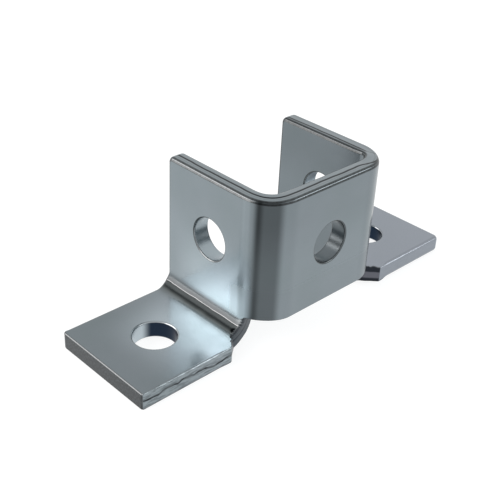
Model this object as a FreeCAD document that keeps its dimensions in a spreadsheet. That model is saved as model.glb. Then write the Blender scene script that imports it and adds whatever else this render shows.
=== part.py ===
import FreeCAD, Part
import math
import os
import Sketcher

# Wing fitting bracket, folded from one steel plate 6 mm thick. A web stands across the front and
# bends back into two flanges, and the foot of each flange bends out into a wing that bolts down.
# Frame: X along the wings, Y from the web's outer face to the open back, Z up. The origin is at the
# middle of the underside. Millimetres.

# Driving dimensions: cell alias, size, and what it is
DIMENSIONS = (
    ("plate", 6.0, "thickness of the folded plate"),
    ("span", 140.0, "length over both wings"),
    ("depth", 45.0, "web's outer face to the back edges"),
    ("height", 53.0, "underside to the top of the web"),
    ("channel", 56.0, "width over both flanges"),
    ("setback", 5.0, "web's outer face to the front edges of the wings"),
    ("web_bend", 3.5, "inner radius of the bends from web to flange"),
    ("web_round", 12.0, "outer radius of the bends from web to flange"),
    ("wing_bend", 5.0, "inner radius of the bends from flange to wing"),
    ("slope", 7.5, "flange's outer face to the wing's front corner"),
    ("hole", 7.0, "radius of all five bolt holes"),
    ("hole_back", 20.0, "hole centres to the back edges"),
    ("hole_height", 32.0, "height of the web and flange holes"),
    ("hole_span", 99.0, "distance between the two wing holes"),
    ("corner", 2.0, "radius of the flanges' upper back corners"),
    ("edge", 1.5, "rounding of the long edges"),
    ("arris", 0.3, "rounding of the cut ends of the wings"),
    ("rim", 0.6, "bevel at the mouth of each punched hole"),
)

# Places worked out from the driving dimensions, each a sum of factor times size
MIDDLE = {"depth": 0.0}
GROUND = {"plate": 0.0}
FRONT = {"depth": -0.5}
BACK = {"depth": 0.5}
WEB_INNER = {"depth": -0.5, "plate": 1.0}
INNER_BEND_END = {"depth": -0.5, "plate": 1.0, "web_bend": 1.0}
OUTER_BEND_END = {"depth": -0.5, "web_round": 1.0}
OUTSIDE = {"channel": 0.5}
INSIDE = {"channel": 0.5, "plate": -1.0}
INNER_BEND_START = {"channel": 0.5, "plate": -1.0, "web_bend": -1.0}
OUTER_BEND_START = {"channel": 0.5, "web_round": -1.0}
WING_BEND_OUTER = {"wing_bend": 1.0, "plate": 1.0}
WING_START = {"channel": 0.5, "wing_bend": 1.0}
WING_END = {"span": 0.5}
WING_FRONT = {"depth": -0.5, "setback": 1.0}
# The relief ends in a slope at 45 degrees that meets the wing's front edge
RELIEF_FRONT = {"depth": -0.5, "plate": -1.0}
RELIEF_INNER = {"channel": 0.5, "plate": -2.0}
SLOPE_BACK = {"channel": 0.5, "slope": 1.0, "setback": 1.0, "plate": -1.0, "web_bend": -1.0}
SLOPE_FRONT = {"channel": 0.5, "slope": 1.0, "setback": 1.0, "plate": 1.0}
HOLE_BACK = {"depth": 0.5, "hole_back": -1.0}
WING_HOLE = {"hole_span": 0.5}


def number(place):
    """Value of a place in millimetres."""
    sizes = {alias: size for alias, size, note in DIMENSIONS}
    return sum(factor * sizes[alias] for alias, factor in place.items())


def formula(place):
    """The same place as an expression on the spreadsheet's cells."""
    terms = ["({0}) * sizes.{1}".format(factor, alias) for alias, factor in place.items()]
    return " + ".join(terms)


def opposite(place):
    """The mirror image of a place, on the other side of the origin."""
    return {alias: -factor for alias, factor in place.items()}


def make_sheet(doc):
    """Spreadsheet that holds the driving dimensions."""
    sheet = doc.addObject("Spreadsheet::Sheet", "sizes")
    for row, (alias, size, note) in enumerate(DIMENSIONS, start=1):
        sheet.set("A{0}".format(row), note)
        sheet.set("B{0}".format(row), str(size))
        sheet.setAlias("B{0}".format(row), alias)
    return sheet


def origin_plane(body, role):
    """One of the body's own origin planes."""
    return [item for item in body.Origin.OriginFeatures if item.Role == role][0]


def add_sketch(body, name, role, offset):
    """Sketch on an origin plane, moved along the plane's normal by a place."""
    sketch = body.newObject("Sketcher::SketchObject", name)
    sketch.AttachmentSupport = [(origin_plane(body, role), "")]
    sketch.MapMode = "FlatFace"
    sketch.setExpression("AttachmentOffset.Base.z", formula(offset))
    return sketch


def pin_point(sketch, curve, end, corner):
    """Hold a point of the sketch at its two bound distances from the origin."""
    for kind, place in zip(("DistanceX", "DistanceY"), corner):
        index = sketch.addConstraint(Sketcher.Constraint(kind, -1, 1, curve, end, number(place)))
        sketch.setExpression("Constraints[{0}]".format(index), formula(place))


def bend_arc(start, end, radius, turn):
    """Quarter turn between two points, its centre on the left of the way for turn +1."""
    chord = end - start
    side = FreeCAD.Vector(-chord.y, chord.x, 0).normalize() * turn
    reach = math.sqrt(max(radius ** 2 - chord.Length ** 2 / 4, 0))
    centre = (start + end) / 2 + side * reach
    first, last = (start, end) if turn > 0 else (end, start)
    angles = [math.atan2(tip.y - centre.y, tip.x - centre.x) for tip in (first, last)]
    if angles[1] < angles[0]:
        angles[1] += 2 * math.pi
    return Part.ArcOfCircle(Part.Circle(centre, FreeCAD.Vector(0, 0, 1), radius), *angles)


def draw_outline(sketch, corners, bends=None):
    """Closed outline through the corners. bends gives the radius and turn of the sides that curve."""
    bends = bends or {}
    points = [FreeCAD.Vector(number(across), number(along), 0) for across, along in corners]
    first = sketch.GeometryCount
    ends = []
    for side, start in enumerate(points):
        end = points[(side + 1) % len(points)]
        if side in bends:
            radius, turn = bends[side]
            curve = sketch.addGeometry(bend_arc(start, end, number(radius), turn), False)
            ends.append((1, 2) if turn > 0 else (2, 1))
        else:
            curve = sketch.addGeometry(Part.LineSegment(start, end), False)
            ends.append((1, 2))
    for side in range(len(points)):
        after = (side + 1) % len(points)
        joint = (first + side, ends[side][1], first + after, ends[after][0])
        sketch.addConstraint(Sketcher.Constraint("Coincident", *joint))
    for side, corner in enumerate(corners):
        pin_point(sketch, first + side, ends[side][0], corner)
    for side, (radius, turn) in bends.items():
        bound = Sketcher.Constraint("Radius", first + side, number(radius))
        index = sketch.addConstraint(bound)
        sketch.setExpression("Constraints[{0}]".format(index), formula(radius))


def draw_hole(sketch, across, along):
    """One round bolt hole."""
    centre = FreeCAD.Vector(number(across), number(along), 0)
    ring = Part.Circle(centre, FreeCAD.Vector(0, 0, 1), number({"hole": 1.0}))
    curve = sketch.addGeometry(ring, False)
    pin_point(sketch, curve, 3, (across, along))
    index = sketch.addConstraint(Sketcher.Constraint("Radius", curve, number({"hole": 1.0})))
    sketch.setExpression("Constraints[{0}]".format(index), formula({"hole": 1.0}))


def pad(body, name, sketch, length):
    """Pad along the sketch's normal by a place's value."""
    feature = body.newObject("PartDesign::Pad", name)
    feature.Profile = sketch
    feature.setExpression("Length", formula(length))
    body.Tip = feature
    return feature


def pocket(body, name, sketch, length, reverse):
    """Pocket against the sketch's normal, or along it when reversed."""
    feature = body.newObject("PartDesign::Pocket", name)
    feature.Profile = sketch
    feature.Reversed = reverse
    feature.setExpression("Length", formula(length))
    body.Tip = feature
    return feature


def add_channel(body):
    """Web and both flanges, as a U seen from above."""
    sketch = add_sketch(body, "channel_outline", "XY_Plane", WING_BEND_OUTER)
    half = [
        (OUTSIDE, BACK),
        (INSIDE, BACK),
        (INSIDE, INNER_BEND_END),
        (INNER_BEND_START, WEB_INNER),
    ]
    outer = [
        (OUTER_BEND_START, FRONT),
        (OUTSIDE, OUTER_BEND_END),
    ]
    inner_left = [(opposite(across), along) for across, along in reversed(half)]
    outer_left = [(opposite(across), along) for across, along in reversed(outer)]
    corners = half + inner_left + outer_left + outer
    bends = {
        2: ({"web_bend": 1.0}, -1),
        4: ({"web_bend": 1.0}, -1),
        8: ({"web_round": 1.0}, 1),
        10: ({"web_round": 1.0}, 1),
    }
    draw_outline(sketch, corners, bends)
    return pad(body, "channel", sketch, {"height": 1.0, "wing_bend": -1.0, "plate": -1.0})


def add_wing(body):
    """Foot of the right flange, its bend and the wing, as one profile along the strip."""
    sketch = add_sketch(body, "wing_outline", "XZ_Plane", opposite(BACK))
    corners = [
        (INSIDE, WING_BEND_OUTER),
        (WING_START, GROUND),
        (WING_END, GROUND),
        (WING_END, {"plate": 1.0}),
        (WING_START, {"plate": 1.0}),
        (OUTSIDE, WING_BEND_OUTER),
    ]
    bends = {
        0: (WING_BEND_OUTER, 1),
        4: ({"wing_bend": 1.0}, -1),
    }
    draw_outline(sketch, corners, bends)
    return pad(body, "wing", sketch, {"depth": 1.0, "setback": -1.0})


def cut_relief(body):
    """Bend relief in front of the wing's bend, with a sloping end towards the wing."""
    sketch = add_sketch(body, "relief_outline", "XY_Plane", GROUND)
    corners = [
        (RELIEF_INNER, RELIEF_FRONT),
        (SLOPE_FRONT, RELIEF_FRONT),
        (SLOPE_BACK, INNER_BEND_END),
        (RELIEF_INNER, INNER_BEND_END),
    ]
    draw_outline(sketch, corners)
    return pocket(body, "relief", sketch, WING_BEND_OUTER, True)


def cut_wing_hole(body):
    """Bolt hole down through the right wing."""
    sketch = add_sketch(body, "wing_hole_outline", "XY_Plane", GROUND)
    draw_hole(sketch, WING_HOLE, HOLE_BACK)
    return pocket(body, "wing_hole", sketch, {"plate": 1.0}, True)


def mirror_right_side(body, features):
    """The left wing, its relief and its hole, mirrored from the right."""
    mirror = body.newObject("PartDesign::Mirrored", "left_side")
    mirror.Originals = features
    mirror.MirrorPlane = (origin_plane(body, "YZ_Plane"), [""])
    body.Tip = mirror
    return mirror


def cut_web_hole(body):
    """Bolt hole through the web."""
    sketch = add_sketch(body, "web_hole_outline", "XZ_Plane", opposite(WEB_INNER))
    draw_hole(sketch, MIDDLE, {"hole_height": 1.0})
    return pocket(body, "web_hole", sketch, {"plate": 1.0}, True)


def cut_flange_holes(body):
    """Cross-bolt hole through both flanges."""
    sketch = add_sketch(body, "flange_hole_outline", "YZ_Plane", OUTSIDE)
    draw_hole(sketch, HOLE_BACK, {"hole_height": 1.0})
    return pocket(body, "flange_holes", sketch, {"channel": 1.0}, False)


def edge_names(shape, wanted):
    """Names of the edges that pass a test."""
    return ["Edge{0}".format(index) for index, edge in enumerate(shape.Edges, start=1) if wanted(edge)]


def is_ring(edge):
    """True for a full circle, the mouth of a hole."""
    return isinstance(edge.Curve, Part.Circle) and edge.isClosed()


def middle_of(edge):
    """Point at the middle of an edge's parameter range."""
    return edge.valueAt((edge.FirstParameter + edge.LastParameter) / 2)


def fold_angle(shape, edge):
    """Angle in degrees between the two faces that meet at the middle of an edge."""
    faces = shape.ancestorsOfType(edge, Part.Face)
    if len(faces) != 2:
        return 0.0
    normals = [face.normalAt(*face.Surface.parameter(middle_of(edge))) for face in faces]
    return math.degrees(normals[0].getAngle(normals[1]))


def near(value, place):
    """True where a value is at a place."""
    return abs(value - number(place)) < 0.01


def is_corner(edge):
    """True for the short edges at the flanges' upper back corners."""
    point = middle_of(edge)
    at_top_back = near(point.y, BACK) and near(point.z, {"height": 1.0})
    return at_top_back and near(edge.Length, {"plate": 1.0})


def at_wing_end(edge):
    """True for the edges round the cut end of a wing."""
    point = middle_of(edge)
    return near(abs(point.x), WING_END)


def is_long(shape, edge):
    """True for the long sharp edges: the top, the back and the wings' fronts, and the web's foot."""
    if is_ring(edge) or at_wing_end(edge) or fold_angle(shape, edge) < 60:
        return False
    point = middle_of(edge)
    at_top = near(point.z, {"height": 1.0})
    at_back = near(point.y, BACK)
    at_wing_front = near(point.y, WING_FRONT) and abs(point.x) > number(WING_START)
    at_web_foot = near(point.y, FRONT) or near(point.y, WEB_INNER)
    return at_top or at_back or at_wing_front or at_web_foot


def add_fillet(body, name, base, names, alias):
    """Fillet of the named edges, its radius bound to one cell."""
    fillet = body.newObject("PartDesign::Fillet", name)
    fillet.Base = (base, names)
    fillet.setExpression("Radius", formula({alias: 1.0}))
    body.Tip = fillet
    return fillet


def add_chamfer(body, name, base, names, alias):
    """Bevel of the named edges, its size bound to one cell."""
    chamfer = body.newObject("PartDesign::Chamfer", name)
    chamfer.Base = (base, names)
    chamfer.setExpression("Size", formula({alias: 1.0}))
    body.Tip = chamfer
    return chamfer


def check(doc):
    """Stop on any feature that is in error or has no valid shape."""
    for item in doc.Objects:
        states = [state for state in item.State if state in ("Invalid", "Error")]
        if states:
            raise ValueError("{0} is {1}".format(item.Name, states))
        shape = getattr(item, "Shape", None)
        if item.TypeId.startswith("PartDesign::") and shape is not None:
            if shape.isNull() or not shape.isValid():
                raise ValueError("{0} has no valid shape".format(item.Name))


def build():
    """The whole bracket as one parametric body."""
    doc = FreeCAD.newDocument("wing_fitting")
    make_sheet(doc)
    doc.recompute()
    body = doc.addObject("PartDesign::Body", "wing_fitting")
    body.Label = "wing_fitting"
    add_channel(body)
    wing = add_wing(body)
    relief = cut_relief(body)
    hole = cut_wing_hole(body)
    mirror_right_side(body, [wing, relief, hole])
    cut_web_hole(body)
    holes = cut_flange_holes(body)
    doc.recompute()
    corners = edge_names(holes.Shape, is_corner)
    rounded = add_fillet(body, "corner_rounds", holes, corners, "corner")
    doc.recompute()
    mouths = edge_names(rounded.Shape, is_ring)
    punched = add_chamfer(body, "hole_mouths", rounded, mouths, "rim")
    doc.recompute()
    long_edges = edge_names(punched.Shape, lambda edge: is_long(punched.Shape, edge))
    softened = add_fillet(body, "edge_rounds", punched, long_edges, "edge")
    doc.recompute()
    ends = edge_names(softened.Shape, at_wing_end)
    add_fillet(body, "end_rounds", softened, ends, "arris")
    doc.recompute()
    check(doc)
    return body


def write(body):
    """Write the finished solid."""
    os.makedirs("parts", exist_ok=True)
    body.Shape.exportStep(os.path.join("parts", body.Label + ".step"))


write(build())
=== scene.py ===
import math
import bpy
import numpy as np
from mathutils import Matrix, Vector
from mathutils.geometry import delaunay_2d_cdt


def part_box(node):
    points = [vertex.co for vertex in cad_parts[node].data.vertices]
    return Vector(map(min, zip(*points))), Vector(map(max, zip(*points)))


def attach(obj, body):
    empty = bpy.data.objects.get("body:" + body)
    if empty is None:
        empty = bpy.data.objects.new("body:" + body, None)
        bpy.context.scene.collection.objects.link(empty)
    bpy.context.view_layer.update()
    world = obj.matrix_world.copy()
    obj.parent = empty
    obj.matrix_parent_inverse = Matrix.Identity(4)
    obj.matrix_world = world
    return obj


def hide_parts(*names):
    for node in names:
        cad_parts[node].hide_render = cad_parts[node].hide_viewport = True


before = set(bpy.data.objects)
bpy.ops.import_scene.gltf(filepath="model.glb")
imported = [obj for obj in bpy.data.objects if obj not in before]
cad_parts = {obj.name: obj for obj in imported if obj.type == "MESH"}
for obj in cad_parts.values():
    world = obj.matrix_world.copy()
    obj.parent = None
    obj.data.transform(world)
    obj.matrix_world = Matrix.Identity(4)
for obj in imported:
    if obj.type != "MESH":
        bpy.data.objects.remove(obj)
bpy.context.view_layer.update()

# Folded plate
# One blank of 6 mm steel, sheared and punched flat, bent into a U and bent again into two wings.
# The mesh is made in the same order: the blank is laid out flat, its edges and hole mouths are
# rounded, and one formula folds it. Lengths are in millimetres until the mesh is filled.
millimetre = 0.001
box_low, box_high = (np.array(corner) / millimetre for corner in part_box("wing_fitting"))
plate = 6.0
half_plate = plate / 2

# The U's bend between web and flange, and the wing's bend below it
inner_round = 3.5
outer_round = 12.0
wing_inner_round = 5.0
channel_half = 28.0
web_bend = outer_round - half_plate
wing_bend = wing_inner_round + half_plate
flange_middle = channel_half - half_plate
web_half = flange_middle - web_bend
bend_run = web_bend * math.pi / 2
fold_run = wing_bend * math.pi / 2
bend_end = web_half + bend_run
bend_end_y = box_low[1] + outer_round
wing_fold = wing_bend + half_plate

# The blank's outline: the wings are set back from the web, and a slope leads into the relief
setback = 5.0
slope = 7.5
top = box_high[2]
back = bend_end + box_high[1] - bend_end_y
wing_front = bend_end + box_low[1] + setback - bend_end_y
wing_tip = wing_fold - fold_run - (box_high[0] - flange_middle - wing_bend)
relief_side = bend_end - outer_round + plate + inner_round
slope_low = wing_fold - fold_run - (half_plate + slope - wing_bend)
slope_rise = half_plate + slope + setback - plate - inner_round
slope_high = wing_fold - wing_bend * math.acos(1 - slope_rise / wing_bend)

# How far the plate bulges where a bend meets a cut edge, how fast that fades, and the share of the
# wing's outward swing in which the U's bend gives way to straight plate
bulge = 0.45
bulge_reach = 4.0
straight_after = 0.25


def bend_distance(turn, out):
    """Distance of a point from the centre of the U's bend, at the angle turn. The outside is one
    arc. The inside is a smaller arc between the two flat faces, so the plate thins there. Out goes
    evenly from the inside to the outside."""
    inner_gap = outer_round - plate
    to_centre = inner_gap - inner_round
    cosine, sine = np.cos(turn), np.sin(turn)
    along_ray = to_centre * (sine + cosine)
    on_arc = along_ray + np.sqrt(np.maximum(along_ray ** 2 - 2 * to_centre ** 2 + inner_round ** 2, 0))
    on_face = inner_gap / np.maximum(cosine, sine)
    bend_limit = to_centre / inner_gap
    straight = (sine < bend_limit * cosine) | (cosine < bend_limit * sine)
    inner = np.where(straight, on_face, on_arc)
    return inner + (outer_round - inner) * (out / half_plate + 1) / 2


def fold(flat):
    """Folds flat points (along, up, out) into the bracket. Along turns round the U's bend by the
    angle turn. Up below the fold line turns outward by tilt, then runs level. A bulge goes by the
    squared sine of twice the angle and fades with the distance from the cut edge."""
    along, up, out = flat.T
    side = np.where(along < 0, -1.0, 1.0)
    reach = np.abs(along)
    turn = np.clip((reach - web_half) / web_bend, 0, math.pi / 2)
    below = np.maximum(wing_fold - up, 0)
    tilt = np.clip(below / wing_bend, 0, math.pi / 2)
    level = np.maximum(below - fold_run, 0)
    radial = bend_distance(turn, out)
    curved_x = np.minimum(reach, web_half) + radial * np.sin(turn)
    curved_y = bend_end_y - radial * np.cos(turn) + np.maximum(reach - bend_end, 0)
    straight_x = flange_middle + out * np.cos(tilt)
    straight_y = bend_end_y + reach - bend_end
    swing = 1 - np.cos(tilt)
    share = np.minimum(swing / straight_after, 1)
    x = (1 - share) * curved_x + share * straight_x + wing_bend * swing + level
    y = (1 - share) * curved_y + share * straight_y
    z = np.maximum(up, wing_fold) - (wing_bend - out) * np.sin(tilt)
    squeeze = bulge * out / half_plate
    wing_squeeze = squeeze * np.sin(2 * tilt) ** 2
    y = y + wing_squeeze * np.exp((reach - back) / bulge_reach)
    y = y - wing_squeeze * np.exp((relief_side - reach) / bulge_reach)
    web_squeeze = squeeze * np.sin(2 * turn) ** 2 * (tilt == 0)
    z = z - web_squeeze * np.exp((up - top) / bulge_reach)
    z = z + web_squeeze * np.exp((wing_fold - up) / bulge_reach)
    return np.stack([side * x, y, z], axis=1)


def fold_normals(flat, normals):
    """Normals of the folded points: the flat ones through the inverse transpose of the fold's
    slope, which comes from differences over a short step each way."""
    step = 0.01
    a, b, c = ((fold(flat + step * axis) - fold(flat - step * axis)) / (2 * step) for axis in np.eye(3))
    turned = normals[:, :1] * np.cross(b, c) + normals[:, 1:2] * np.cross(c, a)
    turned += normals[:, 2:] * np.cross(a, b)
    turned *= np.sign(np.einsum("ij,ij->i", a, np.cross(b, c)))[:, None]
    return turned / np.linalg.norm(turned, axis=1, keepdims=True)


def rounded_loop(corners, radii, spacing, arc_steps=8):
    """Points and outward normals round a closed outline whose corners are arcs. Going round, the
    plate is on the left. An arc begins its radius times the tangent of half the turn before its
    corner, and a side is cut into equal steps of at most the spacing."""
    corners = np.array(corners, float)
    sides = np.roll(corners, -1, axis=0) - corners
    leaving = sides / np.linalg.norm(sides, axis=1, keepdims=True)
    arriving = np.roll(leaving, 1, axis=0)
    crossed = arriving[:, 0] * leaving[:, 1] - arriving[:, 1] * leaving[:, 0]
    turns = np.arctan2(crossed, (arriving * leaving).sum(axis=1))
    arc_starts = corners - arriving * (np.array(radii) * np.tan(np.abs(turns) / 2))[:, None]
    side_ends = np.roll(arc_starts, -1, axis=0)
    points, normals = [], []
    for start, way, turn, radius, side_end in zip(arc_starts, arriving, turns, radii, side_ends):
        outward = np.array([way[1], -way[0]])
        signed_radius = math.copysign(radius, turn)
        angle = turn * np.linspace(0, 1, arc_steps + 1)
        spin = np.array([[np.cos(angle), -np.sin(angle)], [np.sin(angle), np.cos(angle)]])
        arc_normals = np.einsum("ijk,j->ki", spin, outward)
        arc = start - outward * signed_radius + arc_normals * signed_radius
        pieces = max(math.ceil(np.linalg.norm(side_end - arc[-1]) / spacing), 1)
        shares = np.arange(1, pieces)[:, None] / pieces
        points += [arc, arc[-1] + (side_end - arc[-1]) * shares]
        normals += [arc_normals, np.repeat(arc_normals[-1:], pieces - 1, axis=0)]
    return np.concatenate(points), np.concatenate(normals)


def hole_loop(along, up, radius, count=128):
    """Points round a hole, clockwise so that the plate is on the left, with normals into it."""
    angle = -np.arange(count) * 2 * math.pi / count
    radial = np.stack([np.cos(angle), np.sin(angle)], axis=1)
    return np.array([along, up]) + radius * radial, -radial


# The outline of the blank, its five holes, and the radii of its corners
corner_radius = 2.0
tip_radius = 1.0
right_tip_radius = 2.2
relief_radius = 0.4
outline_spacing = 0.5
right_side = [
    (relief_side, wing_fold),
    (relief_side, slope_high),
    (wing_front, slope_low),
    (wing_front, wing_tip),
    (back, wing_tip),
    (back, top),
]
outline = right_side + [(-along, up) for along, up in reversed(right_side)]
right_radii = [relief_radius, relief_radius, tip_radius, right_tip_radius, corner_radius, corner_radius]
left_radii = [corner_radius, corner_radius, tip_radius, tip_radius, relief_radius, relief_radius]
hole_radius = 7.0
wing_width = 40.0
wing_hole_x = 49.5
hole_height = 32.0
hole_along = back - wing_width / 2
wing_hole = wing_fold - fold_run - (wing_hole_x - flange_middle - wing_bend)
hole_places = [(0.0, hole_height)]
hole_places += [(side * hole_along, up) for side in (-1, 1) for up in (hole_height, wing_hole)]
loops = [rounded_loop(outline, right_radii + left_radii, outline_spacing)]
loops += [hole_loop(along, up, hole_radius) for along, up in hole_places]

# Rounding of the cut edges, and how far a normal must point forward or to the tip for its edge to
# count as a wing's front or tip
edge_radius = 1.5
left_front_radius = 0.7
left_tip_arris = 0.6
right_tip_arris = 1.2
relief_arris = 0.35
hole_mouth = 0.6
rounding_ease = 2.0
front_facing = 0.6
tip_facing = 0.7


def edge_radii(points):
    """Rounding of the blank's edges: the tumbled long edges are soft, the left wing's front edge
    less so, and those sheared last, at the wing tips and in the reliefs, are crisp. Each rounding
    eases into the next over a short length."""
    on_left = points[:, 0] < 0
    from_tip = np.abs(points[:, 1] - wing_tip)
    beside_relief = np.maximum(np.abs(points[:, 0]) - relief_side, 0)
    past_relief = np.maximum(np.abs(points[:, 1] - wing_fold) - 2 * wing_bend, 0)
    from_relief = beside_relief + past_relief / 2
    share = np.clip(np.minimum(from_tip, from_relief) / rounding_ease, 0, 1)
    share = share * share * (3 - 2 * share)
    on_front = (points[:, 1] < wing_fold) & (np.abs(points[:, 0]) < relief_side)
    soft = np.where(on_front & on_left, left_front_radius, edge_radius)
    tip_arris = np.where(on_left, left_tip_arris, right_tip_arris)
    crisp = np.where(from_tip < from_relief, tip_arris, relief_arris)
    return crisp + (soft - crisp) * share


def facing_front(points, normals):
    """True where a wing's edge looks forward: its normal points to the web's middle line."""
    return normals[:, 0] * np.sign(points[:, 0]) < -front_facing


def inside(points, loops):
    """True where a point lies in the plate: a ray from it crosses the loops an odd number of times."""
    crossings = np.zeros(len(points), int)
    for loop in loops:
        start, end = loop, np.roll(loop, -1, axis=0)
        above = points[:, 1:2]
        spans = (start[:, 1] > above) != (end[:, 1] > above)
        rise = np.where(end[:, 1] == start[:, 1], 1.0, end[:, 1] - start[:, 1])
        meet = start[:, 0] + (above - start[:, 1]) / rise * (end[:, 0] - start[:, 0])
        crossings += (spans & (points[:, :1] < meet)).sum(axis=1)
    return crossings % 2 == 1


def grid_lines(low, high, bent_spans, coarse, fine):
    """Places of the grid's lines: close together inside the bends, wide apart on the flats."""
    stops = sorted({low, high, *[end for span in bent_spans for end in span]})
    lines = []
    for start, end in zip(stops, stops[1:]):
        bent = any(span[0] <= start and end <= span[1] for span in bent_spans)
        count = max(math.ceil((end - start) / (fine if bent else coarse)), 1)
        lines.extend(np.linspace(start, end, count, endpoint=False))
    return np.array(lines + [high])


# The torn rim in the relief: its outer edge is eaten away unevenly, between these heights
tear_depth = 0.7
tear_low = slope_low + 0.8
tear_high = wing_fold - 0.5
dice = np.random.default_rng(11)
rim_points, rim_normals = loops[0]
jag = np.convolve(dice.normal(0, 1, len(rim_points) + 2), np.ones(3) / 3, "valid")
torn_rim = (rim_points[:, 1] < tear_high) & (rim_points[:, 1] > tear_low)
torn_rim &= facing_front(rim_points, rim_normals)
rim_shift = -rim_normals * (np.abs(jag) * torn_rim * tear_depth)[:, None]

# The faces of the blank: a grid that closes up in the bends, met to the inset outline
flat_step = 3.0
web_bend_step = 0.45
wing_bend_step = 0.4
grid_clearance = 0.55
softness = [edge_radii(rim_points)] + [np.full(len(points), hole_mouth) for points, _ in loops[1:]]
borders = [points - normals * radius[:, None] for (points, normals), radius in zip(loops, softness)]
web_bends = [(web_half, bend_end), (-bend_end, -web_half)]
across = grid_lines(-back, back, web_bends, flat_step, web_bend_step)
upward = grid_lines(wing_tip, top, [(wing_fold - fold_run, wing_fold)], flat_step, wing_bend_step)
grid = np.stack(np.meshgrid(across, upward), axis=-1).reshape(-1, 2)
grid = grid[inside(grid, borders)]
edge_points = np.concatenate(borders)
to_edge = np.sqrt(((grid[:, None, :] - edge_points[None, ::2, :]) ** 2).sum(axis=2)).min(axis=1)
flat_points = np.concatenate([edge_points, grid[to_edge > grid_clearance]])
starts = np.cumsum([0] + [len(border) for border in borders])
rings = [first + np.arange(len(border)) for first, border in zip(starts, borders)]
fences = np.concatenate([np.stack([ring, np.roll(ring, -1)], axis=1) for ring in rings])
solved = delaunay_2d_cdt([Vector(point) for point in flat_points], fences.tolist(), [], 0, 1e-7)
assert len(solved[0]) == len(flat_points)
triangles = np.array([face for face in solved[2] if len(face) == 3])
triangles = triangles[inside(flat_points[triangles].mean(axis=1), borders)]

# The cut edges: rows of points over the outer arris, down the sheared wall and round the inner
# arris. A row lies in from the outline by its inset in radii, and its level through the plate is so
# many half plates and radii. Its normal points out of the face by lean, out of the edge by sideways.
arris_rows = 6
wall_rows = 6
arc = np.linspace(0, math.pi / 2, arris_rows + 1)[1:]
wall_levels = np.linspace(1, -1, wall_rows + 2)[1:-1]
inset = np.concatenate([1 - np.sin(arc), np.zeros(wall_rows), 1 - np.sin(arc[::-1])])
level_radii = np.concatenate([np.cos(arc) - 1, -wall_levels, 1 - np.cos(arc[::-1])])
level_halves = np.concatenate([np.ones(arris_rows), wall_levels, -np.ones(arris_rows)])
lean = np.concatenate([np.cos(arc), np.zeros(wall_rows), -np.cos(arc[::-1])])
sideways = np.sqrt(1 - lean ** 2)
rim_share = np.maximum(level_halves, 0) ** 2
count = len(flat_points)
outer_points = flat_points.copy()
outer_points[:len(rim_shift)] += rim_shift
flat = [
    np.column_stack([face_points, np.full(count, sign * half_plate)])
    for face_points, sign in ((outer_points, 1), (flat_points, -1))
]
flat_normals = [np.tile([0.0, 0.0, sign], (count, 1)) for sign in (1.0, -1.0)]
zones = {name: [np.zeros(2 * count)] for name in ("cut", "tip", "front", "torn", "hole")}
quads = []
total = 2 * count
for ring, (points, normals), radius in zip(rings, loops, softness):
    size = len(points)
    is_hole = points is not rim_points
    moved = points - normals * (inset[:, None] * radius)[:, :, None]
    if not is_hole:
        moved = moved + rim_shift * rim_share[:, None, None]
    level = level_halves[:, None] * half_plate + level_radii[:, None] * radius
    flat.append(np.dstack([moved, level]).reshape(-1, 3))
    leaning = np.repeat(lean[:, None], size, axis=1)
    flat_normals.append(np.dstack([normals * sideways[:, None, None], leaning]).reshape(-1, 3))
    on_wing = (points[:, 1] < wing_fold) & (not is_hole)
    forward = facing_front(points, normals)
    here = {
        "cut": np.full(size, True),
        "tip": on_wing & (normals[:, 1] < -tip_facing),
        "front": on_wing & forward & (points[:, 1] < slope_low),
        "torn": on_wing & forward & (points[:, 1] >= slope_low),
        "hole": np.full(size, is_hole),
    }
    for name, mask in here.items():
        zones[name].append((mask * sideways[:, None]).ravel())
    added = total + np.arange(len(lean) * size).reshape(-1, size)
    total += added.size
    rows = np.vstack([ring, added, count + ring])
    turned = np.roll(rows, -1, axis=1)
    quads.append(np.dstack([rows[:-1], rows[1:], turned[1:], turned[:-1]]).reshape(-1, 4))
flat = np.concatenate(flat)
folded = fold(flat) * millimetre
shading = fold_normals(flat, np.concatenate(flat_normals))

mesh = bpy.data.meshes.new("bracket_plate")
faces = [*triangles.tolist(), *(triangles[:, ::-1] + count).tolist(), *np.concatenate(quads).tolist()]
mesh.from_pydata(folded, [], faces)
mesh.update()
layout = mesh.uv_layers.new(name="blank")
corner_points = np.empty(len(mesh.loops), int)
mesh.loops.foreach_get("vertex_index", corner_points)
layout.data.foreach_set("uv", (flat[corner_points, :2] * millimetre).ravel())
marks = {name: np.concatenate(values) for name, values in zones.items()}
marks["depth"] = flat[:, 2] / half_plate
for name, values in marks.items():
    mesh.attributes.new(name, "FLOAT", "POINT").data.foreach_set("value", values.astype(np.float32))
mesh.polygons.foreach_set("use_smooth", np.ones(len(mesh.polygons), bool))
mesh.normals_split_custom_set_from_vertices(shading)
bracket = bpy.data.objects.new("bracket_plate", mesh)
bpy.context.scene.collection.objects.link(bracket)
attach(bracket, "root")
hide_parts("wing_fitting")

# Zinc plating
# The folded bracket is plated with bright zinc, faintly blue all over: a metal that mirrors softly and
# is cloudy from place to place. Sheared edges and hole walls are duller, the edges with a dark tear
# line. Painted shade, painted highlights and painted reflections lie over the faces and the flanges'
# feet.
zinc = bpy.data.materials.new("zinc_steel")
zinc.use_nodes = True
nodes, links = zinc.node_tree.nodes, zinc.node_tree.links
shader = nodes["Principled BSDF"]
shader.inputs["Metallic"].default_value = 1.0
object_place = nodes.new("ShaderNodeTexCoord").outputs["Object"]
blank = nodes.new("ShaderNodeUVMap")
blank.uv_map = "blank"
blank_place = blank.outputs["UV"]


def zone(name):
    """Socket with the value that the mesh keeps under this name."""
    attribute = nodes.new("ShaderNodeAttribute")
    attribute.attribute_name = name
    return attribute.outputs["Fac"]


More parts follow.
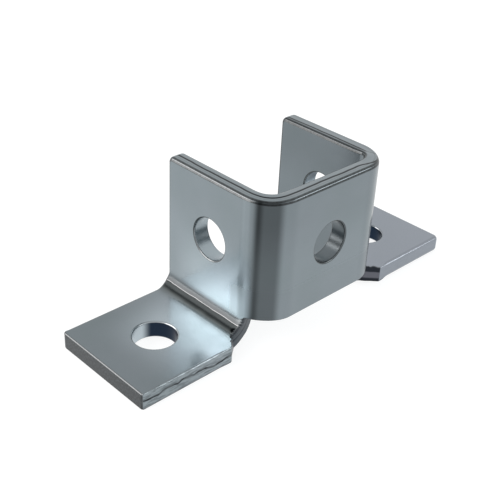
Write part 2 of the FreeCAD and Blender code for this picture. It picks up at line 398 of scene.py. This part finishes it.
def parts(place):
    """Sockets with the three parts of a place."""
    split = nodes.new("ShaderNodeSeparateXYZ")
    links.new(place, split.inputs["Vector"])
    return split.outputs["X"], split.outputs["Y"], split.outputs["Z"]


def combined(operation, first, second=0.0, clamp=False):
    """Socket with two values put together by one math operation; a number stands for itself."""
    node = nodes.new("ShaderNodeMath")
    node.operation = operation
    node.use_clamp = clamp
    for socket, value in zip(node.inputs, (first, second)):
        if isinstance(value, bpy.types.NodeSocket):
            links.new(value, socket)
        else:
            socket.default_value = value
    return node.outputs["Value"]


def times(first, *others):
    """Socket with the product of all the values."""
    for other in others:
        first = combined("MULTIPLY", first, other)
    return first


def plus(first, *others):
    """Socket with the sum of all the values."""
    for other in others:
        first = combined("ADD", first, other)
    return first


def without(first, second):
    """Socket with the first mask less the second, kept between 0 and 1."""
    return combined("SUBTRACT", first, second, clamp=True)


def apart(value, middle):
    """Socket with the distance between a value and the middle, whichever is larger."""
    return combined("ABSOLUTE", combined("SUBTRACT", value, middle))


def ease(value, start, end, low=0.0, high=1.0):
    """Socket that goes smoothly from low to high while the value goes from start to end."""
    node = nodes.new("ShaderNodeMapRange")
    node.interpolation_type = "SMOOTHSTEP"
    node.inputs["From Min"].default_value = start
    node.inputs["From Max"].default_value = end
    node.inputs["To Min"].default_value = low
    node.inputs["To Max"].default_value = high
    links.new(value, node.inputs["Value"])
    return node.outputs["Result"]


def cloud(place, scale, detail, squeeze=(1, 1, 1)):
    """Socket with a noise from 0 to 1; the squeeze multiplies the scale along each direction."""
    mapping = nodes.new("ShaderNodeMapping")
    mapping.inputs["Scale"].default_value = squeeze
    links.new(place, mapping.inputs["Vector"])
    noise = nodes.new("ShaderNodeTexNoise")
    noise.inputs["Scale"].default_value = scale
    noise.inputs["Detail"].default_value = detail
    links.new(mapping.outputs["Vector"], noise.inputs["Vector"])
    return noise.outputs["Fac"]


def tinted(under, mask, colour, amount=1.0):
    """Socket that goes from the colour under it to the given one by the mask times the amount."""
    node = nodes.new("ShaderNodeMix")
    node.data_type = "RGBA"
    links.new(times(mask, amount), node.inputs["Factor"])
    links.new(under, node.inputs["A"])
    node.inputs["B"].default_value = (*colour, 1)
    return node.outputs["Result"]


# Where a point lies: along and up on the blank in millimetres, round the U's bend from 0 at the web
# to 1 at the flange, and through the plate from -1 on its inner to 1 on its outer face
blank_x, blank_y, _ = parts(blank_place)
along = times(blank_x, 1 / millimetre)
up = times(blank_y, 1 / millimetre)
reach = combined("ABSOLUTE", along)
round_bend = times(combined("SUBTRACT", reach, web_half), 1 / bend_run)
depth, cut = zone("depth"), zone("cut")
front, tip, torn, hole = zone("front"), zone("tip"), zone("torn"), zone("hole")
on_left = ease(along, 1.0, -1.0)
on_right = ease(along, -1.0, 1.0)
outside = ease(depth, 0.5, 0.9)
sheared = ease(cut, 0.8, 0.99)
in_hole = ease(hole, 0.5, 0.98)

# Faces: cloudy between two pale blues, with fine dark specks
clouds = nodes.new("ShaderNodeValToRGB")
clouds.color_ramp.elements[0].position = 0.3
clouds.color_ramp.elements[0].color = (0.69, 0.81, 0.86, 1)
clouds.color_ramp.elements[1].position = 0.72
clouds.color_ramp.elements[1].color = (0.77, 0.875, 0.95, 1)
links.new(cloud(object_place, scale=45, detail=4), clouds.inputs["Fac"])
specks = ease(cloud(object_place, scale=1900, detail=2), 0.66, 0.76)
surface = tinted(clouds.outputs["Color"], specks, (0.35, 0.38, 0.40), amount=0.06)

# Foot of the flanges: painted shade just above the crease, a painted highlight along it, a painted
# shade band under it, and black painted shade where the crease runs out into the relief
crease_height = 6.35
pocket_reach = relief_side + 0.6
pocket_height = 3.2
waver = times(combined("SUBTRACT", cloud(blank_place, scale=160, detail=2), 0.5), 1.4)
height = plus(up, waver)
below_crease = ease(height, 6.38, 6.1)
crease_top_shade = times(ease(height, 6.28, 6.56), ease(up, 11.8, 7.4), outside)
crease_shade_band = times(below_crease, ease(height, -3.8, 4.2), outside)
deep_crease_shade = times(below_crease, ease(height, 1.0, 3.4), outside)
crease_highlight = times(ease(apart(height, crease_height), 0.2, 0.03), outside)
beside_pocket = combined("SUBTRACT", reach, pocket_reach)
above_pocket = combined("SUBTRACT", height, pocket_height)
from_pocket = plus(times(beside_pocket, beside_pocket), times(above_pocket, above_pocket))
pocket_shade = times(ease(from_pocket, 3.2, 1.0), outside)
# Painted shade above and below the crease, a painted highlight on it, and black painted shade at its
# end
surface = tinted(surface, crease_top_shade, (0.20, 0.225, 0.24))
surface = tinted(surface, crease_shade_band, (0.34, 0.37, 0.36))
surface = tinted(surface, deep_crease_shade, (0.08, 0.095, 0.10))
surface = tinted(surface, crease_highlight, (0.97, 0.98, 1.0), amount=0.6)
surface = tinted(surface, pocket_shade, (0.008, 0.01, 0.013))

# Sheared edges: dull and streaked, rough at the front of the left wing and calm at the front of the
# right one. A dark tear line wavers along the middle, with a faint line beside it. At the top it
# drifts outward into the right bend and jumps inward there.
through = nodes.new("ShaderNodeCombineXYZ")
for part, name in ((blank_x, "X"), (blank_y, "Y"), (times(depth, half_plate * millimetre), "Z")):
    links.new(part, through.inputs[name])
streaks = cloud(through.outputs["Vector"], scale=900, detail=4, squeeze=(1, 0.35, 2))
calm = times(front, on_right)
rough = combined("SUBTRACT", front, times(calm, 0.85))
rough_patches = times(rough, ease(streaks, 0.46, 0.6))
tear_wave = combined("SUBTRACT", cloud(blank_place, scale=110, detail=3), 0.5)
tear_swing = plus(times(front, 1.3), 0.25)
to_outside = ease(along, 13.0, 24.0, high=0.85)
back_inside = ease(along, 24.0, 26.0, high=-1.3)
above_fold = ease(up, wing_fold, wing_fold + 1)
tear_place = plus(times(tear_wave, tear_swing), 0.04, times(plus(to_outside, back_inside), above_fold))
tear = times(ease(apart(depth, tear_place), 0.17, 0.08), plus(times(calm, -0.75), 1.0))
faint_line = ease(apart(depth, 0.4), 0.07, 0.01, high=0.4)
lines = combined("MAXIMUM", tear, faint_line)
lines = times(lines, without(sheared, calm), without(1.0, combined("MAXIMUM", hole, tip)))
line_amount = plus(times(front, ease(streaks, 0.4, 0.62, high=-0.6)), 0.96)
low_edge = times(front, ease(depth, -0.66, -0.84))
surface = tinted(surface, times(sheared, without(1.0, front)), (0.42, 0.45, 0.45), amount=0.2)
surface = tinted(surface, rough_patches, (0.19, 0.22, 0.24), amount=0.5)
surface = tinted(surface, times(lines, line_amount), (0.014, 0.02, 0.026))
surface = tinted(surface, low_edge, (0.15, 0.15, 0.18), amount=0.6)

# Wing tips: mottled grey. Torn walls of the reliefs: dark, the right one almost black with a pale
# stripe along its middle.
mottled_tip = times(tip, ease(cloud(object_place, scale=1500, detail=2), 0.3, 0.6, low=0.72))
right_torn = times(torn, on_right)
stripe = ease(apart(depth, -0.1), 0.5, 0.3)
surface = tinted(surface, mottled_tip, (0.22, 0.235, 0.245))
surface = tinted(surface, torn, (0.13, 0.16, 0.20), amount=0.75)
surface = tinted(surface, right_torn, (0.03, 0.035, 0.05), amount=0.85)
surface = tinted(surface, times(right_torn, stripe), (0.42, 0.43, 0.5), amount=0.8)

# Hole walls: dull in web and flanges, clearer in the wings, where the right back of the wall gets a
# dark blue painted shade
bracket_x, bracket_y, _ = parts(object_place)
hole_x = times(combined("SIGN", bracket_x), wing_hole_x * millimetre)
hole_y = (box_high[1] - wing_width / 2) * millimetre
right_of_hole = combined("SUBTRACT", bracket_x, hole_x)
behind_hole = combined("SUBTRACT", bracket_y, hole_y)
in_wing = ease(up, 5.0, -5.0)
dull = times(in_hole, plus(times(in_wing, -0.35), 0.42))
hole_wall_shade = times(in_wing, ease(plus(right_of_hole, behind_hole), -0.001, 0.003))
hole_wall_shade = times(hole_wall_shade, ease(right_of_hole, 0.0, 0.0035), in_hole)
surface = tinted(surface, dull, (0.10, 0.125, 0.145))
# Dark blue painted shade on the right back of the wing holes' walls
surface = tinted(surface, hole_wall_shade, (0.022, 0.036, 0.062))

# Rounded arrises: painted shade on flanges and wings that dims the lamp's highlight there, and painted
# shade in dark dots everywhere above the foot but for a clean line along their middle, where the
# highlight stays
on_flange = ease(round_bend, 0.7, 0.9)
arris_shade = times(ease(cut, 0.05, 0.25), ease(cut, 1.0, 0.92))
arris_shade = times(arris_shade, combined("MAXIMUM", on_flange, ease(up, 0.0, -5.0)), without(1.0, front))
dotted_arris_shade = times(ease(cut, 0.08, 0.3), ease(cut, 1.0, 0.9))
dotted_arris_shade = times(dotted_arris_shade, ease(apart(cut, 0.64), 0.0, 0.06), ease(up, 10.0, 14.0))
dots = ease(cloud(object_place, scale=1300, detail=2), 0.42, 0.58, low=0.98, high=0.85)
# Painted shade on the arrises, solid and dotted, leaving a thin highlight line
surface = tinted(surface, arris_shade, (0.5, 0.54, 0.56), amount=0.6)
surface = tinted(surface, times(dotted_arris_shade, dots), (0.2, 0.22, 0.23))

# Right wing: tinted a little lavender
right_wing = times(ease(up, 4.0, -2.0), on_right)
plain = without(1.0, combined("MAXIMUM", torn, hole))
surface = tinted(surface, times(right_wing, plain), (0.80, 0.82, 0.98), amount=0.4)

# Depth of tone, in steps from the zinc's plain grey, painted as reflected light and shade: painted
# shade round the U's bends, painted highlights just past them, at the foot of the flanges and at the
# left wing's root, and faces painted lighter or darker.
# Hole walls shine more in flanges and wings than in the web.
zinc_grey = 0.295
above_foot = ease(up, 3.0, 8.0)
clear_of_fold = ease(up, 9.0, 12.0)
off_back = ease(reach, back - 1.0, back - 20.0)
bend_shade = times(ease(round_bend, 0.2, 0.36), ease(round_bend, 0.78, 0.66), outside, above_foot)
last_bend_shade = times(bend_shade, ease(round_bend, 0.56, 0.66), outside)
after_bend_highlight = times(ease(round_bend, 0.77, 0.84), ease(round_bend, 0.98, 0.9), outside, above_foot)
high = ease(up, 28.0, 46.0)
flange_foot_highlight = times(ease(up, 36.0, 14.0), clear_of_fold, ease(round_bend, 0.9, 1.0), off_back)
wing_root_highlight = times(ease(up, -34.0, -8.0), ease(up, 2.0, -1.0), off_back, on_left)
# Painted highlights where the flange's foot and the left wing's root mirror each other and the key
painted_highlights = times(plus(flange_foot_highlight, wing_root_highlight), without(outside, sheared))
flange_face = times(ease(up, 10.0, 13.0), ease(round_bend, 0.85, 1.0), outside)
left_wing_end = times(ease(up, -2.0, -24.0), on_left)
inner_face = ease(depth, -0.6, -0.9)
left_front = combined("SUBTRACT", front, calm)
web_face = ease(round_bend, 0.1, -0.1)
# Each step is painted reflected light or shade: darker inside the U, high up and at the left wing's
# end, lighter on the flange, the right wing and the left wing's front edge
painted_light_steps = (
    (bend_shade, -0.52),
    (last_bend_shade, -0.2),
    (after_bend_highlight, 0.22),
    (high, -0.12),
    (times(high, sheared), 0.34),
    (painted_highlights, 0.85),
    (flange_face, 0.2),
    (left_wing_end, -0.14),
    (right_wing, 0.2),
    (inner_face, -0.13),
    (left_front, 0.35),
    (web_face, 0.06),
)
tone = 1.0
for mask, step in painted_light_steps:
    tone = plus(tone, times(mask, step))
hole_shine = times(in_hole, ease(round_bend, 0.0, 1.0, high=0.5))
toned = nodes.new("ShaderNodeVectorMath")
toned.operation = "SCALE"
links.new(surface, toned.inputs[0])
links.new(plus(times(tone, zinc_grey), hole_shine), toned.inputs["Scale"])
links.new(toned.outputs["Vector"], shader.inputs["Base Color"])

# Polish and grain: dullest low on the web and its bends and on sheared edges, with a shallow waviness
# all over and ridges on the rough front edge
waves = cloud(object_place, scale=170, detail=3)
low_web = times(ease(up, 26.0, 20.0), clear_of_fold, ease(reach, bend_end + 7.0, bend_end + 1.0))
roughness = ease(waves, 0.3, 0.7, low=0.18, high=0.25)
for mask, dullness in ((sheared, 0.32), (crease_shade_band, 0.16), (low_web, 0.34)):
    roughness = combined("MAXIMUM", roughness, times(mask, dullness))
links.new(roughness, shader.inputs["Roughness"])
grain = times(cloud(object_place, scale=900, detail=3), 0.016)
hills = plus(grain, times(waves, 0.09), times(rough, streaks, 2.2))
bump = nodes.new("ShaderNodeBump")
bump.inputs["Strength"].default_value = 0.6
bump.inputs["Distance"].default_value = 0.0002
links.new(hills, bump.inputs["Height"])
links.new(bump.outputs["Normal"], shader.inputs["Normal"])
mesh.materials.append(zinc)

# Floor
# A plain white sheet of paper, 6 m across, under the bracket. The camera and the bracket's mirror
# see it white with a soft shadow on it, and everything else sees it matte.
half_floor = 3.0
floor_mesh = bpy.data.meshes.new("floor")
floor_corners = [(-half_floor, -half_floor, 0), (half_floor, -half_floor, 0)]
floor_corners += [(half_floor, half_floor, 0), (-half_floor, half_floor, 0)]
floor_mesh.from_pydata(floor_corners, [], [(0, 1, 2, 3)])
floor = bpy.data.objects.new("floor", floor_mesh)
bpy.context.scene.collection.objects.link(floor)


def shown_white(tree, otherwise, white, output):
    """Joins two shaders to the output by the largest of three masks: the white one for rays from
    the camera, mirrored rays and rays through glass, and the other for all the rest."""
    path = tree.nodes.new("ShaderNodeLightPath")
    mask = path.outputs["Is Camera Ray"]
    for kind in ("Is Glossy Ray", "Is Transmission Ray"):
        larger = tree.nodes.new("ShaderNodeMath")
        larger.operation = "MAXIMUM"
        tree.links.new(mask, larger.inputs[0])
        tree.links.new(path.outputs[kind], larger.inputs[1])
        mask = larger.outputs["Value"]
    choice = tree.nodes.new("ShaderNodeMixShader")
    tree.links.new(mask, choice.inputs["Fac"])
    tree.links.new(otherwise, choice.inputs[1])
    tree.links.new(white, choice.inputs[2])
    tree.links.new(choice.outputs["Shader"], tree.nodes[output].inputs["Surface"])


paper = bpy.data.materials.new("paper")
paper.use_nodes = True
sheet = paper.node_tree
matte = sheet.nodes["Principled BSDF"]
matte.inputs["Base Color"].default_value = (0.85, 0.85, 0.85, 1)
matte.inputs["Roughness"].default_value = 1.0
matte.inputs["Specular IOR Level"].default_value = 0.0
glow = sheet.nodes.new("ShaderNodeEmission")
glow.inputs["Strength"].default_value = 1.2

# Most of the white is plain light, and the rest is lit paper, which keeps the shadow
shadowed = sheet.nodes.new("ShaderNodeMixShader")
shadowed.inputs["Fac"].default_value = 0.7
sheet.links.new(matte.outputs["BSDF"], shadowed.inputs[1])
sheet.links.new(glow.outputs["Emission"], shadowed.inputs[2])
shown_white(sheet, matte.outputs["BSDF"], shadowed.outputs["Shader"], "Material Output")
floor_mesh.materials.append(paper)

# World
# A pale, faintly blue studio that lights the scene from all round, and plain white where the camera
# or the metal's mirror looks at it.
world = bpy.data.worlds.new("studio")
bpy.context.scene.world = world
world.use_nodes = True
studio = world.node_tree
sky = studio.nodes["Background"]
sky.inputs["Color"].default_value = (0.9, 0.97, 1.0, 1)
sky.inputs["Strength"].default_value = 0.85
backdrop = studio.nodes.new("ShaderNodeBackground")
backdrop.inputs["Color"].default_value = (1, 1, 1, 1)
shown_white(studio, sky.outputs["Background"], backdrop.outputs["Background"], "World Output")

# Lamps
# Two softboxes, set by bearing and rise. The key, a little warm, stands behind the left wing and
# shines on the wings, the top edges and the flange's foot. The strip stands at the front right and
# shines along the web.
lamp_distance = 1.0
lamp_aim = Vector((0, 0, 0.02))


def softbox(name, bearing, rise, width, height, radiance, colour=(1, 1, 1)):
    """Lamp facing the bracket: its power is its radiance times its area times pi."""
    lamp = bpy.data.lights.new(name, "AREA")
    lamp.shape = "RECTANGLE"
    lamp.size = width
    lamp.size_y = height
    lamp.energy = radiance * width * height * math.pi
    lamp.color = colour
    holder = bpy.data.objects.new(name, lamp)
    bpy.context.scene.collection.objects.link(holder)
    turn, lift = math.radians(bearing), math.radians(rise)
    away = Vector((math.cos(turn) * math.cos(lift), math.sin(turn) * math.cos(lift), math.sin(lift)))
    facing = away.to_track_quat("Z", "Y").to_matrix().to_4x4()
    holder.matrix_world = Matrix.Translation(away * lamp_distance + lamp_aim) @ facing


softbox("key", bearing=149.5, rise=20, width=1.1, height=0.88, radiance=3.6, colour=(1.0, 0.91, 0.87))
softbox("web_strip", bearing=-48, rise=30, width=0.5, height=0.2, radiance=3.0)

# Camera
# A camera before the bracket's left corner. Its place, aim, roll and field of view were solved on the
# photograph's edges.
turn_angle = math.radians(-45.3)
rise_angle = math.radians(31.102)
roll_angle = math.radians(3.041)
distance = 0.292855
aim = Vector((-0.014894, -0.0025, 0.025566))
backward = Vector((
    math.sin(turn_angle) * math.cos(rise_angle),
    -math.cos(turn_angle) * math.cos(rise_angle),
    math.sin(rise_angle),
))
level_right = (-backward).cross(Vector((0, 0, 1))).normalized()
level_up = level_right.cross(-backward)
camera_right = math.cos(roll_angle) * level_right + math.sin(roll_angle) * level_up
camera_up = -math.sin(roll_angle) * level_right + math.cos(roll_angle) * level_up
lens = bpy.data.cameras.new("camera")
lens.sensor_width = 36.0
lens.lens = 66.651
camera = bpy.data.objects.new("camera", lens)
bpy.context.scene.collection.objects.link(camera)
stance = Matrix((camera_right, camera_up, backward)).transposed().to_4x4()
camera.matrix_world = Matrix.Translation(aim + backward * distance) @ stance
bpy.context.scene.camera = camera
bpy.context.scene.view_settings.view_transform = "Standard"
